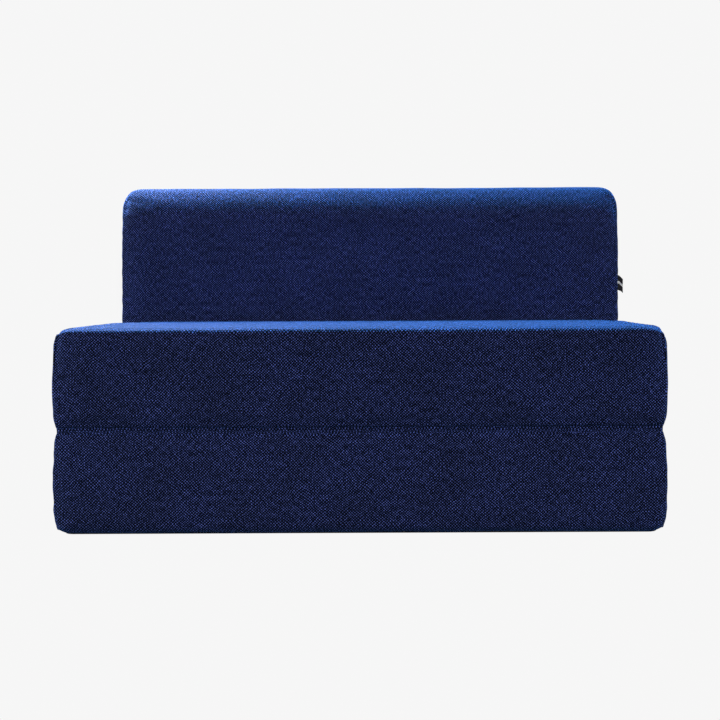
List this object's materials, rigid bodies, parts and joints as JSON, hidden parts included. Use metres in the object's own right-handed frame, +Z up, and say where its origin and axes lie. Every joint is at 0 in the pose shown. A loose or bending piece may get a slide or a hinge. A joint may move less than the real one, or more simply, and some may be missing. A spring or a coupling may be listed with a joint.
{
  "type": "futon sofa bed",
  "caption": "Armless foam sofa that unfolds into a floor bed: a base, a seat folded on it along a front cloth hinge and a back that folds down behind, in navy woven covers.",
  "frame": {"origin": "on the floor under the middle of the base section, the centre of its non-slip underside", "axes": "+Z up, the front faces -Y, +X along the width to the right of someone who looks at the front"},
  "size_m": [1.2292, 0.7516, 0.736],
  "materials": {
    "cover_cloth": "matte",
    "liner": "matte",
    "wadding": "matte",
    "foam": "matte",
    "zip_tape": "matte",
    "zip_coil": "satin",
    "zip_metal": "satin",
    "underside_cloth": "matte",
    "label": "matte"
  },
  "bodies": {
    "base": {"base_cover_band": "cover_cloth", "base_end_panel_left": "cover_cloth", "base_end_panel_right": "cover_cloth", "base_liner_bag": "liner", "base_wadding_wrap": "wadding", "base_foam_core": "foam", "base_zip_tape": "zip_tape", "base_zip_coil": "zip_coil", "base_zip_stops": "zip_metal", "base_bottom_panel": "underside_cloth", "front_hinge_strip": "cover_cloth"},
    "seat": {"seat_cover_band": "cover_cloth", "seat_end_panel_left": "cover_cloth", "seat_end_panel_right": "cover_cloth", "seat_liner_bag": "liner", "seat_wadding_wrap": "wadding", "seat_foam_core": "foam", "seat_zip_tape": "zip_tape", "seat_zip_coil": "zip_coil", "seat_zip_stops": "zip_metal"},
    "back": {"back_cover_band": "cover_cloth", "back_end_panel_left": "cover_cloth", "back_end_panel_right": "cover_cloth", "back_liner_bag": "liner", "back_wadding_wrap": "wadding", "back_foam_core": "foam", "back_zip_tape": "zip_tape", "back_zip_coil": "zip_coil", "back_zip_stops": "zip_metal", "side_label": "label"},
    "rear_flap": {"rear_hinge_flap": "cover_cloth"},
    "base_zip_slider": {"base_zip_slider": "zip_metal"},
    "base_zip_pull": {"base_zip_pull": "zip_metal"},
    "seat_zip_slider": {"seat_zip_slider": "zip_metal"},
    "seat_zip_pull": {"seat_zip_pull": "zip_metal"},
    "back_zip_slider": {"back_zip_slider": "zip_metal"},
    "back_zip_pull": {"back_zip_pull": "zip_metal"}
  },
  "joints": [
    {"name": "seat_flip", "type": "hinge", "parent": "base", "child": "seat", "pos_m": [0, -0.37665, 0.204], "axis": [1, 0, 0], "range_deg": [0, 180]},
    {"name": "flap_turn", "type": "hinge", "parent": "base", "child": "rear_flap", "pos_m": [0, 0.37615, 0.10175], "axis": [-1, 0, 0], "range_deg": [0, 180]},
    {"name": "back_turn", "type": "hinge", "parent": "rear_flap", "child": "back", "pos_m": [0, 0.37615, 0.203], "axis": [-1, 0, 0], "range_deg": [-90, 0]},
    {"name": "base_zip_slide", "type": "slide", "parent": "base", "child": "base_zip_slider", "axis": [0, 1, 0], "range_m": [0, 0.584]},
    {"name": "base_pull_swing", "type": "hinge", "parent": "base_zip_slider", "child": "base_zip_pull", "pos_m": [0.6132, -0.292, 0.1018], "axis": [0, 0, 1], "range_deg": [0, 180]},
    {"name": "seat_zip_slide", "type": "slide", "parent": "seat", "child": "seat_zip_slider", "axis": [0, 1, 0], "range_m": [0, 0.404]},
    {"name": "seat_pull_swing", "type": "hinge", "parent": "seat_zip_slider", "child": "seat_zip_pull", "pos_m": [0.6132, -0.303, 0.306], "axis": [0, 0, 1], "range_deg": [0, 180]},
    {"name": "back_zip_slide", "type": "slide", "parent": "back", "child": "back_zip_slider", "axis": [0, 0, 1], "range_m": [0, 0.404]},
    {"name": "back_pull_swing", "type": "hinge", "parent": "back_zip_slider", "child": "back_zip_pull", "pos_m": [0.6132, 0.27465, 0.26815], "axis": [0, -1, 0], "range_deg": [0, 180]}
  ],
  "couplings": [
    {"joint": "back_turn", "follows": "flap_turn", "ratio": -0.5}
  ]
}
